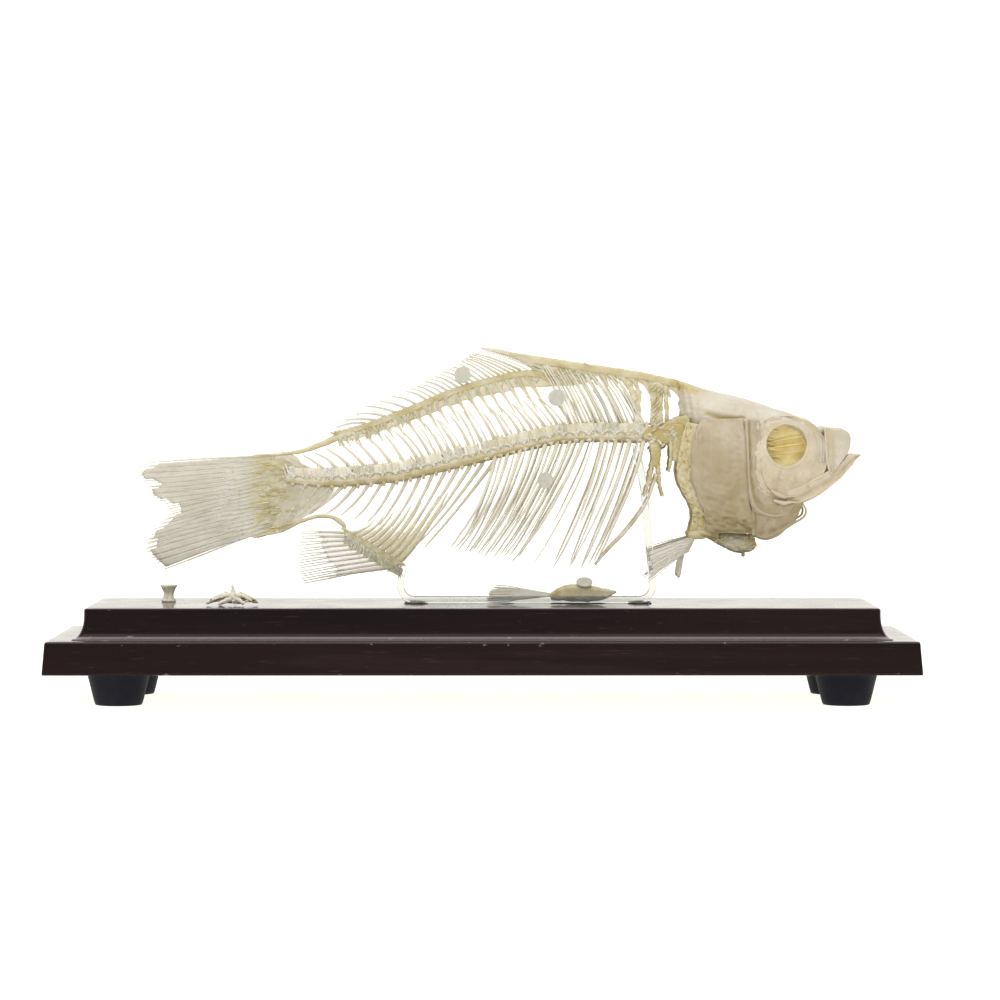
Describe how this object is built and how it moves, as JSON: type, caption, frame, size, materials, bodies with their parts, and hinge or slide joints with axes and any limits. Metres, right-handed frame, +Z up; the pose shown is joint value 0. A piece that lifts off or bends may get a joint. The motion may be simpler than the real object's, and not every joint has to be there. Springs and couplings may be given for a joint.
{
  "type": "mounted fish skeleton",
  "caption": "Bony fish skeleton held by a bent clear strip on a dark moulded plinth with rubber feet, with loose bones glued beside it.",
  "frame": {"origin": "on the table, under the middle of the plinth", "axes": "+X towards the fish's head, +Y towards the fish's left flank, +Z up"},
  "size_m": [0.352, 0.122, 0.145],
  "materials": {
    "plinth_wood": "dark brown wood grain, glossy lacquer",
    "foot_rubber": "matt black moulded rubber",
    "zinc_steel": "zinc plated",
    "clear_acrylic": "clear, polished faces and flame-polished bends",
    "glue": "set clear glue, slightly yellowed",
    "bone": "cleaned dry bone, satin, cream",
    "bone_olive": "dry bone with yellow-olive oil stain, satin",
    "fin_ray": "thin dry fin rays, half see-through",
    "label_paper": "blank beige paper discs"
  },
  "bodies": {
    "root": {"plinth_board": "plinth_wood", "rubber_foot_front_left": "foot_rubber", "rubber_foot_front_right": "foot_rubber", "rubber_foot_rear_left": "foot_rubber", "rubber_foot_rear_right": "foot_rubber", "foot_washers": "zinc_steel", "foot_screws": "zinc_steel", "clear_stand": "clear_acrylic", "stand_glue": "glue", "braincase": "bone", "snout_bone": "bone", "cheek_bones_right": "bone", "cheek_bones_left": "bone", "upper_jaw_right": "bone", "upper_jaw_left": "bone", "lower_jaw_right": "bone", "lower_jaw_left": "bone", "gill_cover_right": "bone", "gill_cover_left": "bone", "gill_cover_ridge_right": "bone", "gill_cover_ridge_left": "bone", "lower_gill_cover_right": "bone", "lower_gill_cover_left": "bone", "throat_bones": "bone", "shoulder_blade_right": "bone", "shoulder_blade_left": "bone", "front_fin_right": "fin_ray", "front_fin_left": "fin_ray", "neck_vertebrae": "bone_olive", "trunk_vertebrae": "bone_olive", "tail_vertebrae": "bone_olive", "neural_spines": "bone", "haemal_spines": "bone", "ribs_right": "bone", "ribs_left": "bone", "nape_bones": "bone_olive", "back_fin_supports": "bone_olive", "back_fin_spine": "bone_olive", "back_fin_rays": "fin_ray", "vent_fin_supports": "bone_olive", "vent_fin_rays": "fin_ray", "tail_plate": "bone_olive", "tail_fin_rays": "fin_ray", "loose_vertebra": "bone", "loose_neck_bone": "bone", "loose_hip_bone": "bone_olive", "loose_hip_fin": "fin_ray", "label_dots": "label_paper"}
  },
  "joints": []
}
